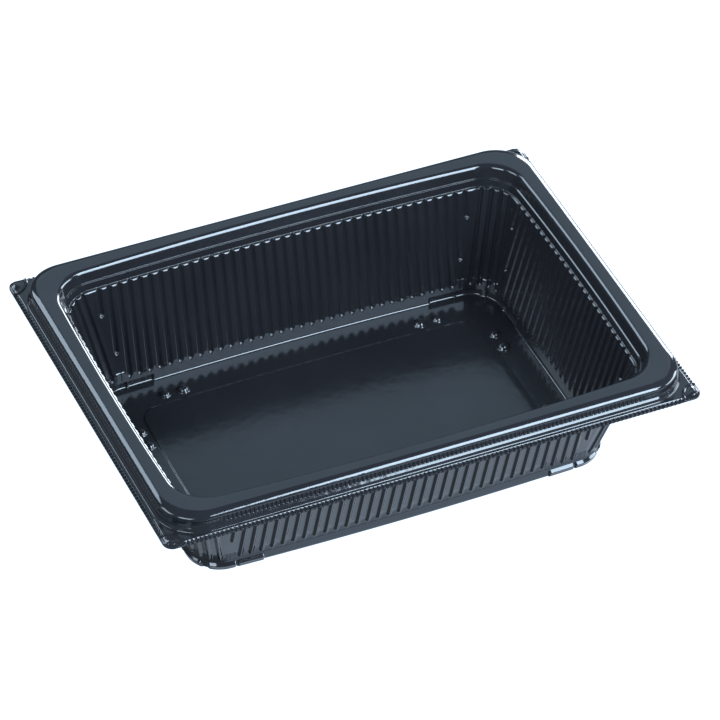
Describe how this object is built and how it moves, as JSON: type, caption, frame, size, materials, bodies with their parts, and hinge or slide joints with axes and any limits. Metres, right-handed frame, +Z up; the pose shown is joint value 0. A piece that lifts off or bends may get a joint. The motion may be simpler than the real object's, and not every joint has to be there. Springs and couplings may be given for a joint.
{
  "type": "takeaway food container",
  "caption": "Shallow rectangular black plastic food tray with fluted tapering walls, a raised flat rim, a knurled flange with corner tabs, and a floor edged with shallow pads.",
  "frame": {"origin": "on the resting plane under the floor, below the middle of the tray", "axes": "+X along the long side, +Y along the short side, +Z up out of the tray's mouth"},
  "size_m": [0.2282, 0.1678, 0.0556],
  "materials": {
    "black_plastic": "glossy thermoformed plastic, near black with a cool blue cast"
  },
  "bodies": {
    "root": {"tray": "black_plastic"}
  },
  "joints": []
}
